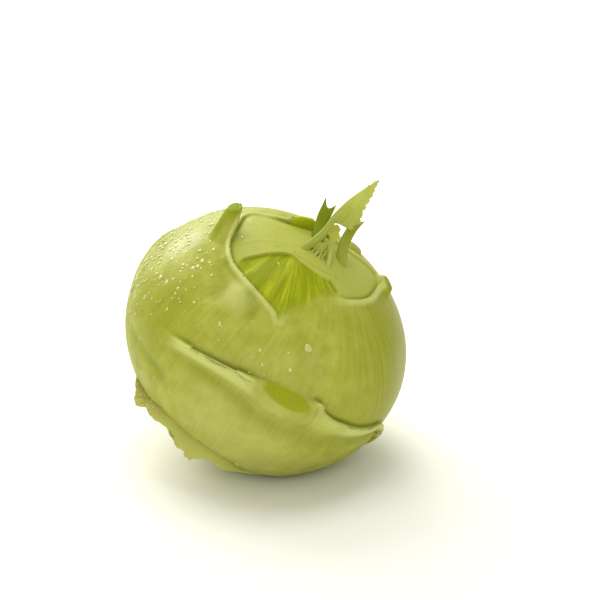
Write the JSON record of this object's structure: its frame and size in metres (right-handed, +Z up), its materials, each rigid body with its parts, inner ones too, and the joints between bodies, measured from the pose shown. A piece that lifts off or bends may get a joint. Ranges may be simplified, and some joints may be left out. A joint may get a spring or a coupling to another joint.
{
  "type": "kohlrabi",
  "caption": "Fresh green kohlrabi lying tilted, a swollen round stem with clasping leaf bases, cut stalk stubs, a torn flap and young leaves in its crown.",
  "frame": {"origin": "middle of the small flat spot on which the bulb rests", "axes": "+Z up, -Y towards the front with the wide leaf cut, and the crown leans over towards +X"},
  "size_m": [0.0902, 0.0963, 0.0953],
  "materials": {
    "skin": "waxy pale green skin",
    "leaf": "thin yellow-green leaf",
    "stalk": "fresh green stalk",
    "heart": "pale tender stems"
  },
  "bodies": {
    "root": {"bulb": "skin", "young_leaf": "leaf", "stalk_back": "stalk", "stalk_right": "stalk", "heart_leaf": "heart", "heart_buds": "heart"}
  },
  "joints": []
}
